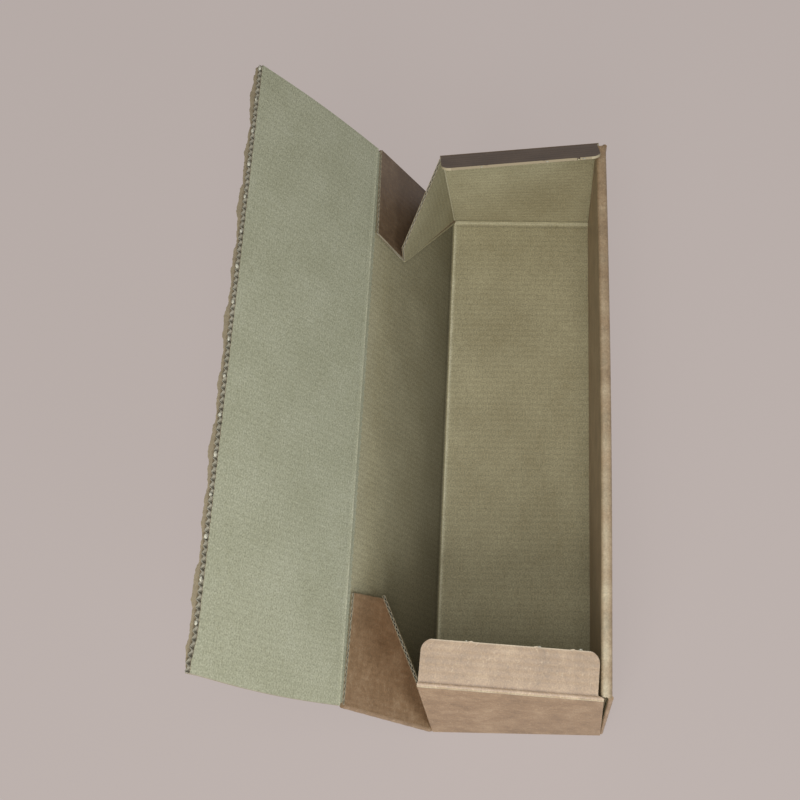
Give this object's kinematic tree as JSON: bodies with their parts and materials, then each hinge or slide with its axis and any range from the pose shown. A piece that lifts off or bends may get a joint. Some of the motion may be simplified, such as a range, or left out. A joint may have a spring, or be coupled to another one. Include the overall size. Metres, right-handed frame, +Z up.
{
  "type": "bottle shipping box",
  "caption": "Corrugated card shipping box for a wine bottle, folded from a single sheet and shown open, with a lid that swings on a long side wall.",
  "frame": {"origin": "middle of the floor's underside, on the table", "axes": "+Y along the box's length towards its far end, +X from the lid's side towards the double wall, +Z up"},
  "size_m": [0.1954, 0.3282, 0.1655],
  "materials": {
    "tray_board": "matt brown liner outside, grey-brown liner inside",
    "lid_board": "matt brown liner outside, grey-brown liner inside"
  },
  "bodies": {
    "tray": {"tray": "tray_board"},
    "lid": {"lid": "lid_board"}
  },
  "joints": [
    {"name": "lid_hinge", "type": "hinge", "parent": "tray", "child": "lid", "pos_m": [-0.08899, 0, 0.08299], "axis": [0, 1, 0], "range_deg": [-95, 88]}
  ]
}
